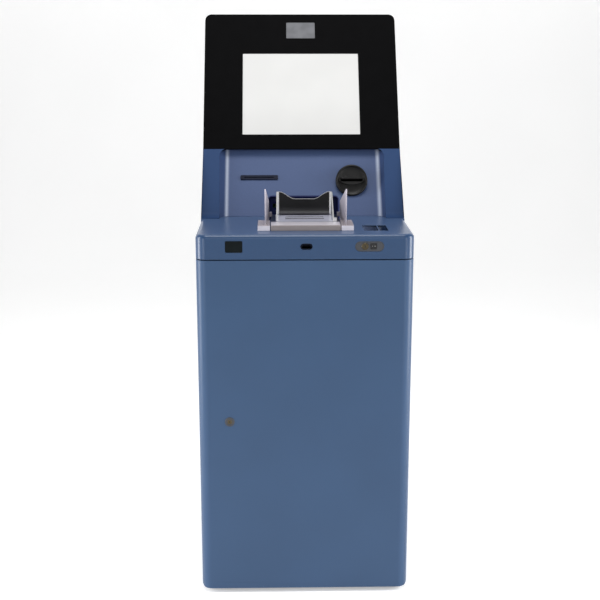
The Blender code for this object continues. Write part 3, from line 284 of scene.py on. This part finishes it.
def painted_gutter_shade(material, middle_x, half, start_y, low_z, colour):
    """Painted shade on the two side runners of the bed, outside the pusher's arms."""
    made = material.node_tree.nodes
    parts = next(node for node in made if node.bl_idname == "ShaderNodeSeparateXYZ")
    product = next(node for node in made if node.bl_idname == "ShaderNodeVectorMath")
    offset = add_node(material, "ShaderNodeMath")
    offset.operation = "SUBTRACT"
    offset.inputs[1].default_value = middle_x
    wire(material, parts, "X", offset, 0)
    spread = add_node(material, "ShaderNodeMath")
    spread.operation = "ABSOLUTE"
    wire(material, offset, 0, spread, 0)
    mask = beyond(material, spread, 0, half)
    for socket, value in (("Y", start_y), ("Z", low_z)):
        both = add_node(material, "ShaderNodeMath")
        both.operation = "MULTIPLY"
        wire(material, mask, 0, both, 0)
        wire(material, beyond(material, parts, socket, value), 0, both, 1)
        mask = both
    blend = add_node(material, "ShaderNodeMix")
    blend.data_type = "RGBA"
    wire(material, mask, 0, blend, "Factor")
    wire(material, product, 0, blend, 6)
    blend.inputs[7].default_value = (*colour, 1)
    wire(material, blend, 2, made["Principled BSDF"], "Base Color")


NICHE_INSET = 0.0143
GUTTER_SHADE_HALF = 0.0765
panel_low, panel_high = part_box("fascia_panel")
niche = (panel_high[0] - panel_low[0]) / 2 - NICHE_INSET
# The niche's walls are painted darker as painted shade, and a painted highlight runs down each side
# fillet as a lighter band.
WALL_SHADE_BLUE = from_screen(46, 62, 96)
BAND_HIGHLIGHT_BLUE = from_screen(158, 166, 184)
PANEL_BLUE = from_screen(67, 82, 116)
panel_painted_light = zones("panel_painted_light", "X",
                   [(-niche, WALL_SHADE_BLUE), (-niche + 0.010, WALL_SHADE_BLUE), (-niche + 0.0165, BAND_HIGHLIGHT_BLUE),
                    (-niche + 0.0235, PANEL_BLUE), (niche - 0.0190, PANEL_BLUE),
                    (niche - 0.0115, BAND_HIGHLIGHT_BLUE), (niche - 0.0050, WALL_SHADE_BLUE), (niche, WALL_SHADE_BLUE)],
                   0.42, 0.12, (1, 1, 1))

shelf_low, shelf_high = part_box("console_shell")
# One paint: the shelf's front edge is painted darker as painted shade and its top lighter as painted
# light.
EDGE_SHADE_BLUE = from_screen(32, 61, 96)
SHELF_TOP_LIT_BLUE = from_screen(64, 85, 119)
shelf_painted_light = zones("shelf_painted_light", "Z",
                   [(shelf_low[2], EDGE_SHADE_BLUE), (shelf_high[2] - 0.0030, EDGE_SHADE_BLUE),
                    (shelf_high[2] - 0.0010, SHELF_TOP_LIT_BLUE), (shelf_high[2], SHELF_TOP_LIT_BLUE)],
                   0.30, 0.50, (1, 1, 1))

hopper_low, hopper_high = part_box("hopper_base")
lip_y = hopper_low[1]
# The lip's brown is a painted reflection and the front land's white is a painted highlight; the step
# is darker grey.
LIP_REFLECTION_BROWN = from_screen(146, 137, 136)
LAND_HIGHLIGHT_WHITE = from_screen(205, 200, 208)
STEP_GREY = from_screen(74, 74, 82)
BED_SILVER = from_screen(176, 177, 194)
hopper_painted_light = zones("hopper_painted_light", "Y",
                     [(lip_y, LIP_REFLECTION_BROWN), (lip_y + 0.0025, LIP_REFLECTION_BROWN), (lip_y + 0.0045, LAND_HIGHLIGHT_WHITE),
                      (lip_y + 0.050, LAND_HIGHLIGHT_WHITE), (lip_y + 0.056, STEP_GREY),
                      (lip_y + 0.064, BED_SILVER), (hopper_high[1], BED_SILVER)], 0.32, 0.6)
# The bed's side runners are painted dark as painted shade.
painted_gutter_shade(hopper_painted_light, (hopper_low[0] + hopper_high[0]) / 2, GUTTER_SHADE_HALF, lip_y + 0.061,
             hopper_high[2] - 0.001, from_screen(16, 22, 44))
foot_low, foot_top = hopper_low[2], hopper_high[2]
# The foot is painted white on its front and beige on its top as painted light; the fins above are
# darker towards the bottom.
guide_painted_light = zones("guide_painted_light", "Z",
                    [(foot_low, from_screen(224, 220, 228)),
                     (foot_top - 0.0020, from_screen(222, 218, 226)),
                     (foot_top - 0.0005, from_screen(160, 152, 157)),
                     (foot_top + 0.012, from_screen(148, 144, 154)),
                     (foot_top + 0.085, from_screen(190, 184, 194))], 0.36)
pusher_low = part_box("pusher_plate")[0][2]
pusher_black = zones("pusher_black", "Z",
                     [(pusher_low, from_screen(60, 60, 67)),
                      (pusher_low + 0.007, from_screen(34, 34, 38)),
                      (pusher_low + 0.022, from_screen(15, 16, 18)),
                      (pusher_low + 0.06, from_screen(15, 16, 18))], 0.4, 0.25)

# %% [markdown]
# ## Glass and the lit screen
#
# The screen shows nothing but its white backlight, with a very faint mottle. The windows are smooth
# tinted glass: one nearly black, one grey, and one nearly black with a painted reflection that runs
# from blue at its left end.

# %% Glass finishes
def tinted_glass(name, colour, roughness, glint):
    material, shader = new_material(name, roughness)
    shader.inputs["Specular IOR Level"].default_value = glint
    cloud = object_noise(material, 40.0, 1.0)
    mix_colours(material, shader, cloud, shade(colour, 0.9), shade(colour, 1.1))
    return material


def lit_screen(name, colour, strength):
    material, shader = new_material(name, 0.12)
    mottle = object_noise(material, 9.0, 1.0)
    ramp = mix_colours(material, shader, mottle, shade(colour, 0.97), colour)
    wire(material, ramp, "Color", shader, "Emission Color")
    shader.inputs["Emission Strength"].default_value = strength
    shader.inputs["Specular IOR Level"].default_value = 0.1
    return material


screen_white = lit_screen("screen_white", from_screen(140, 140, 139), 1.73)
window_low, window_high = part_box("shelf_window")
# The window is painted lighter at its left end, fading to nearly black, as a painted reflection.
window_painted_reflection = zones("window_painted_reflection", "X",
                    [(window_low[0], from_screen(74, 88, 112)),
                     (window_low[0] + 0.014, from_screen(52, 60, 80)),
                     (window_low[0] + 0.034, from_screen(8, 16, 30)),
                     (window_high[0], from_screen(1, 9, 24))], 0.14, 0.05)
window_dark = tinted_glass("window_dark", from_screen(12, 18, 20), 0.12, 0.12)
window_grey = tinted_glass("window_grey", from_screen(102, 103, 107), 0.3, 0.05)

finish_of = {
    blue_paint: ["side_panel_left", "side_panel_right", "lower_back_panel", "lower_door",
                 "head_shell", "rear_door"],
    shelf_painted_light: ["console_shell"],
    cheek_shaded_blue: ["cheek_frame"],
    panel_painted_light: ["fascia_panel"],
    inside_paint: ["base_plate", "deck_plate", "cash_cassette", "computer"],
    zinc: ["front_frame", "lower_pivot_pin", "upper_pivot_pin", "cassette_shelf", "cassette_handle",
           "drop_chute", "display_panel", "card_reader", "feed_motor", "power_button"],
    hopper_painted_light: ["hopper_base"],
    bright_edge: ["pusher_frame"],
    brass: ["door_lock_plug", "key_lock_plug", "rear_lock_plug"],
    face_black: ["head_face"],
    black_plastic: ["presence_sensor", "camera_module", "exhaust_fan_frame", "fan_rotor",
                    "mains_inlet", "receipt_printer"],
    pusher_black: ["pusher_plate"],
    socket_black: ["centre_socket"],
    drum_black: ["card_bezel"],
    lock_grey: ["lock_plate", "door_lock_barrel", "rear_lock_barrel"],
    bezel_navy: ["receipt_bezel"],
    navy_plastic: ["pocket_liner"],
    guide_painted_light: ["guide_left", "guide_right"],
    rubber: ["foot_1", "foot_2", "foot_3", "foot_4", "feed_roller_front", "feed_roller_rear",
             "drive_wheel", "platen_roller"],
    paper: ["paper_roll"],
    red_plastic: ["mains_switch"],
    green_case: ["note_validator"],
    screen_white: ["touch_screen"],
    window_painted_reflection: ["shelf_window"],
    window_dark: ["code_reader_window"],
    window_grey: ["camera_window"],
}
material_of = {node: material for material, group in finish_of.items() for node in group}
for node_name, node_object in nodes.items():
    node_object.data.materials.clear()
    node_object.data.materials.append(material_of[node_name])
print("finishes:", len(finish_of), "on", len(material_of), "nodes")
assert set(material_of) == set(nodes), set(nodes) ^ set(material_of)

# %% [markdown]
# ## Softened edges
#
# Bent sheet and moulded plastic have no sharp corners, and the thin bright line along an edge is
# what makes a render look real. A CAD node may not be edited, so each large visible one is copied,
# its flat triangles are merged into clean faces, its sharp edges are bevelled, its points are kept
# inside the node's box, and the copy stands for the node. The door's edges near its lock stay
# sharp, because a bevel there shades badly.


SHARP_ANGLE = math.radians(28)
SMOOTH_ANGLE = math.radians(40)


def softened(node, width, choose=None):
    """A bevelled, smooth-shaded copy of a CAD node that replaces it."""
    source = nodes[node]
    work = bmesh.new()
    work.from_mesh(source.data)
    bmesh.ops.remove_doubles(work, verts=work.verts, dist=0.000002)
    bmesh.ops.dissolve_limit(work, angle_limit=math.radians(0.4), verts=work.verts, edges=work.edges)
    edges = [edge for edge in work.edges
             if len(edge.link_faces) == 2 and edge.calc_face_angle() > SHARP_ANGLE
             and edge.calc_length() > width * 3 and (choose is None or choose(edge))]
    bmesh.ops.bevel(work, geom=edges, offset=width, offset_type="OFFSET", affect="EDGES",
                    segments=2, profile=0.5, material=-1, clamp_overlap=False)
    low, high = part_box(node)
    for vertex in work.verts:
        vertex.co = [min(max(at, least), most) for at, least, most in zip(vertex.co, low, high)]
    bmesh.ops.recalc_face_normals(work, faces=work.faces)
    mesh = bpy.data.meshes.new(node + "_skin")
    work.to_mesh(mesh)
    work.free()
    mesh.shade_smooth()
    mesh.set_sharp_from_angle(angle=SMOOTH_ANGLE)
    piece = bpy.data.objects.new(node + "_skin", mesh)
    bpy.context.scene.collection.objects.link(piece)
    mesh.materials.append(material_of[node])
    level = piece.modifiers.new("flat faces stay flat", "WEIGHTED_NORMAL")
    level.keep_sharp = True
    level.weight = 100
    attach(piece, body_of[node])
    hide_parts(node)


# %% Softened cabinet and head
lock_low, lock_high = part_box("door_lock_barrel")
lock_middle = (Vector(lock_low) + Vector(lock_high)) / 2
softened("lower_door", 0.0006,
         choose=lambda edge: (edge.verts[0].co - lock_middle).xz.length > 0.03)
for node_name, width in (("console_shell", 0.0007), ("head_face", 0.0008), ("cheek_frame", 0.0006),
                         ("head_shell", 0.0005), ("rear_door", 0.0006),
                         ("side_panel_left", 0.0005), ("side_panel_right", 0.0005),
                         ("fascia_panel", 0.0005), ("lower_back_panel", 0.0004)):
    softened(node_name, width)
print("cabinet skins made")

# %% Softened hopper and bezels
for node_name, width in (("hopper_base", 0.0007), ("guide_left", 0.0006), ("guide_right", 0.0006),
                         ("card_bezel", 0.0004), ("receipt_bezel", 0.0006),
                         ("centre_socket", 0.0004), ("cash_cassette", 0.0006),
                         ("computer", 0.0006)):
    softened(node_name, width)
print("small skins made")

# %% [markdown]
# ## Fixings and labels
#
# Hexagon screws hold the back panel, its fan, the computer and the note validator. Thin plates
# carry plain words for service staff, and small sockets and slots break up the computer's front.
# Each one is placed from the box of the node it sits on, and rides on that node's body.

# %% Detail helpers
def facing(place, outward):
    """A frame standing at place with local Z outward and local Y upward."""
    z = Vector(outward).normalized()
    x = Vector((0, 0, 1)).cross(z).normalized()
    return Matrix.Translation(place) @ Matrix((x, z.cross(x), z)).transposed().to_4x4()


def add_disc(work, place, segments, radius, height, edge):
    """A closed disc or hexagon with a bevelled rim, standing on its local XY plane."""
    middle = place @ Matrix.Translation((0, 0, height / 2))
    made = bmesh.ops.create_cone(work, cap_ends=True, segments=segments, radius1=radius,
                                 radius2=radius, depth=height, matrix=middle)["verts"]
    back = place.inverted()
    tops = [v for v in made if (back @ v.co).z > height * 0.9]
    rim = [e for e in work.edges if e.verts[0] in tops and e.verts[1] in tops]
    bmesh.ops.bevel(work, geom=rim, offset=edge, offset_type="OFFSET", affect="EDGES",
                    segments=2, profile=0.5, material=-1, clamp_overlap=True)


def add_screw(work, place, radius=0.0036):
    """A hexagon head on a round washer."""
    add_disc(work, place, 20, radius, 0.0005, 0.00015)
    add_disc(work, place @ Matrix.Translation((0, 0, 0.0004)), 6, radius * 0.72, 0.0010, 0.0002)


def add_plate(work, place, wide, high, thick, corner):
    """A thin plate with round corners, its back on the local XY plane."""
    size = place @ Matrix.Translation((0, 0, thick / 2)) @ Matrix.Diagonal((wide, high, thick, 1))
    made = bmesh.ops.create_cube(work, size=1.0, matrix=size)["verts"]
    outward = (place.to_3x3() @ Vector((0, 0, 1))).normalized()
    posts = [e for e in {e for v in made for e in v.link_edges}
             if abs((e.verts[1].co - e.verts[0].co).normalized().dot(outward)) > 0.9]
    bmesh.ops.bevel(work, geom=posts, offset=corner, offset_type="OFFSET", affect="EDGES",
                    segments=4, profile=0.5, material=-1, clamp_overlap=True)


def new_piece(name, work, material, node):
    """A bmesh with soft shading, made into a piece."""
    bmesh.ops.recalc_face_normals(work, faces=work.faces)
    mesh = bpy.data.meshes.new(name)
    work.to_mesh(mesh)
    work.free()
    mesh.shade_smooth()
    mesh.set_sharp_from_angle(angle=math.radians(35))
    dress(name, mesh, material, node)


def dress(name, mesh, material, node):
    """A finished mesh becomes a piece with its material that rides with a node's body."""
    piece = bpy.data.objects.new(name, mesh)
    bpy.context.scene.collection.objects.link(piece)
    mesh.materials.append(material)
    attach(piece, body_of[node])


def words(name, text, size, place, material, node):
    """Raised lettering, centred at place and a tenth of a millimetre thick."""
    letters = bpy.data.curves.new(name, "FONT")
    letters.body = text
    letters.size = size
    letters.extrude = 0.00005
    letters.resolution_u = 3
    letters.align_x = "CENTER"
    letters.align_y = "CENTER"
    shape = bpy.data.objects.new(name + "_shape", letters)
    mesh = bpy.data.meshes.new_from_object(shape)
    bpy.data.objects.remove(shape)
    mesh.transform(place @ Matrix.Translation((0, 0, 0.00005)))
    dress(name, mesh, material, node)


label_white = moulded("label_white", from_screen(214, 214, 210), 0.5, 400.0, 0.00002)
label_yellow = moulded("label_yellow", from_screen(226, 178, 36), 0.5, 400.0, 0.00002)
label_ink = moulded("label_ink", from_screen(20, 20, 22), 0.6, 400.0, 0.00002)
socket_dark = moulded("socket_dark", from_screen(12, 12, 14), 0.5)

# %% Screws on the back, the computer and the note units
def screws(name, node, spots, outward, radius=0.0036):
    work = bmesh.new()
    for spot in spots:
        add_screw(work, facing(spot, outward), radius)
    new_piece(name, work, zinc, node)


FAN_SCREW_OFFSET = 0.0525
MIDDLE_SCREW_HEIGHTS = (0.31, 0.61)
back_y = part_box("rear_door")[1][1]
fan_low, fan_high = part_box("exhaust_fan_frame")
fan_x, fan_z = (fan_low[0] + fan_high[0]) / 2, (fan_low[2] + fan_high[2]) / 2
panel_low, panel_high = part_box("lower_back_panel")
spots = [(x, back_y, z) for x in (panel_low[0] + 0.012, panel_high[0] - 0.012)
         for z in (panel_low[2] + 0.020, *MIDDLE_SCREW_HEIGHTS, panel_high[2] - 0.012)]
spots += [(fan_x + FAN_SCREW_OFFSET * across, back_y, fan_z + FAN_SCREW_OFFSET * up)
          for across in (-1, 1) for up in (-1, 1)]
screws("back_screws", "lower_back_panel", spots, (0, 1, 0))

case_low, case_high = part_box("computer")
screws("computer_screws", "computer",
       [(x, case_low[1], z) for x in (case_low[0] + 0.008, case_high[0] - 0.008)
        for z in (case_low[2] + 0.010, case_high[2] - 0.010)], (0, -1, 0), 0.003)
note_low, note_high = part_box("note_validator")
screws("validator_screws", "note_validator",
       [(x, note_high[1], note_low[2] + 0.008) for x in (note_low[0] + 0.008, note_high[0] - 0.008)],
       (0, 1, 0), 0.003)
print("screws:", len(spots), "on the back")

# %% Computer front: slots, sockets and a name plate
work = bmesh.new()
middle_x = (case_low[0] + case_high[0]) / 2
for row in range(9):
    slot = facing((middle_x, case_low[1], 0.050 + 0.009 * row), (0, -1, 0))
    add_plate(work, slot, 0.080, 0.0030, 0.0003, 0.0012)
for column in range(4):
    socket = facing((middle_x - 0.030 + 0.020 * column, case_low[1], 0.170), (0, -1, 0))
    add_plate(work, socket, 0.0125, 0.0055, 0.0003, 0.0006)
new_piece("computer_slots", work, socket_dark, "computer")

# %% Name plates and signs
PLATE_THICK = 0.0004
SIGN_HEIGHT = 1.200


def name_plate(node, text, spot, outward, wide, high, size):
    """A white plate with ink words; size is the height of a line of words."""
    work = bmesh.new()
    place = facing(spot, outward)
    add_plate(work, place, wide, high, PLATE_THICK, 0.0015)
    new_piece(node + "_plate", work, label_white, node)
    face = place @ Matrix.Translation((0, 0, PLATE_THICK))
    words(node + "_words", text, size, face, label_ink, node)


cash_low, cash_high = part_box("cash_cassette")
name_plate("cash_cassette", "CASH CASSETTE", (0, cash_low[1], cash_high[2] - 0.022), (0, -1, 0),
           0.110, 0.016, 0.010)
name_plate("computer", "CONTROLLER", (middle_x, case_low[1], 0.235), (0, -1, 0), 0.070, 0.014, 0.008)
name_plate("note_validator", "NOTE VALIDATOR", (0, note_high[1], note_low[2] + 0.030), (0, 1, 0),
           0.110, 0.016, 0.009)
name_plate("lower_back_panel", "CASH DEPOSIT TERMINAL\n230 V  50 Hz  2 A",
           (-0.060, back_y, 0.075), (0, 1, 0), 0.110, 0.032, 0.0075)
name_plate("rear_door", "SERVICE ACCESS", (0.060, back_y, SIGN_HEIGHT), (0, 1, 0),
           0.110, 0.020, 0.010)

work = bmesh.new()
warn = facing((-0.020, back_y, SIGN_HEIGHT), (0, 1, 0))
add_disc(work, warn, 3, 0.017, PLATE_THICK, 0.0001)
new_piece("warning_sign", work, label_yellow, "rear_door")
mark_place = warn @ Matrix.Translation((0, -0.001, PLATE_THICK))
words("warning_mark", "!", 0.018, mark_place, label_ink, "rear_door")

# %% Keyholes and the sensor's two eyes
for lock, seat, outward in (("key_lock", "key_lock_plug", -1), ("door_lock", "door_lock_barrel", -1),
                            ("rear_lock", "rear_lock_barrel", 1)):
    low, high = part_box(lock + "_plug")
    seat_low, seat_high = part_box(seat)
    face_y = low[1] if outward < 0 else high[1]
    spot = ((seat_low[0] + seat_high[0]) / 2, face_y, (seat_low[2] + seat_high[2]) / 2)
    work = bmesh.new()
    add_plate(work, facing(spot, (0, outward, 0)), 0.0016, 0.0062, 0.00015, 0.0006)
    new_piece(lock + "_plug_keyhole", work, label_ink, lock + "_plug")

eye_low, eye_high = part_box("presence_sensor")
work = bmesh.new()
eye_z = (eye_low[2] + eye_high[2]) / 2 + 0.001
for share in (0.32, 0.68):
    spot = (eye_low[0] + (eye_high[0] - eye_low[0]) * share, eye_low[1], eye_z)
    add_disc(work, facing(spot, (0, -1, 0)), 14, 0.0007, 0.0003, 0.0001)
new_piece("sensor_eyes", work, label_white, "presence_sensor")
print("details made")

# %% [markdown]
# ## Studio
#
# A plain pale sweep stands under and behind the machine: a floor that curves up into a wall, made
# by extruding one edge back, spinning it up and extruding it again. One soft light in front, one
# above and two strips at each side, with a bright surrounding, give the even light of a product
# picture.

# %% Studio sweep
def of_kind(elements, kind):
    return [element for element in elements if isinstance(element, kind)]


def studio_sweep():
    floor_level = cad_box[0][2]
    work = bmesh.new()
    row = [work.verts.new((x, -7.0, floor_level)) for x in (-9.0, 9.0)]
    edge = work.edges.new(row)
    made = bmesh.ops.extrude_edge_only(work, edges=[edge])["geom"]
    bmesh.ops.translate(work, vec=(0, 11.0, 0), verts=of_kind(made, bmesh.types.BMVert))
    far = [e for e in of_kind(made, bmesh.types.BMEdge) if all(v.co.y > 3.9 for v in e.verts)]
    turned = bmesh.ops.spin(work, geom=far, cent=(0, 4.0, floor_level + 2.0), axis=(1, 0, 0),
                            angle=math.pi / 2, steps=16, use_merge=False)["geom_last"]
    lift = bmesh.ops.extrude_edge_only(work, edges=of_kind(turned, bmesh.types.BMEdge))["geom"]
    bmesh.ops.translate(work, vec=(0, 0, 6.0), verts=of_kind(lift, bmesh.types.BMVert))
    bmesh.ops.recalc_face_normals(work, faces=work.faces)
    mesh = bpy.data.meshes.new("studio_sweep")
    work.to_mesh(mesh)
    work.free()
    mesh.shade_smooth()
    sweep = bpy.data.objects.new("studio_sweep", mesh)
    bpy.context.scene.collection.objects.link(sweep)
    material, shader = new_material("studio_white", 0.9)
    cloud = object_noise(material, 1.5, 1.0)
    mix_colours(material, shader, cloud, (0.88, 0.88, 0.88), (0.90, 0.90, 0.90))
    shader.inputs["Emission Color"].default_value = (1, 1, 1, 1)
    shader.inputs["Emission Strength"].default_value = 0.3
    mesh.materials.append(material)


def area_light(name, place, aim, width, height, power):
    data = bpy.data.lights.new(name, "AREA")
    data.shape = "RECTANGLE"
    data.size = width
    data.size_y = height
    data.energy = power
    light = bpy.data.objects.new(name, data)
    bpy.context.scene.collection.objects.link(light)
    light.location = place
    light.rotation_euler = (Vector(aim) - Vector(place)).to_track_quat("-Z", "Y").to_euler()


studio_sweep()
middle = (0, 0, 0.9)
area_light("front_light", (0.2, -4.6, 2.6), middle, 2.2, 2.2, 20)
area_light("top_light", (0, -0.6, 3.4), (0, -0.3, 1.0), 1.2, 1.2, 30)
for side in (-1, 1):
    area_light("side_strip", (side * 2.6, -0.45, 1.15), (0, -0.45, 1.0), 0.9, 2.3, 70)
    area_light("front_strip", (side * 2.0, -2.9, 1.15), (0, -0.45, 1.0), 0.30, 2.2, 16)
world = bpy.data.worlds.new("studio_air")
bpy.context.scene.world = world
world.use_nodes = True
surrounding = world.node_tree.nodes["Background"]
surrounding.inputs["Color"].default_value = (1, 1, 1, 1)
surrounding.inputs["Strength"].default_value = 0.45
bpy.context.scene.view_settings.view_transform = "Standard"
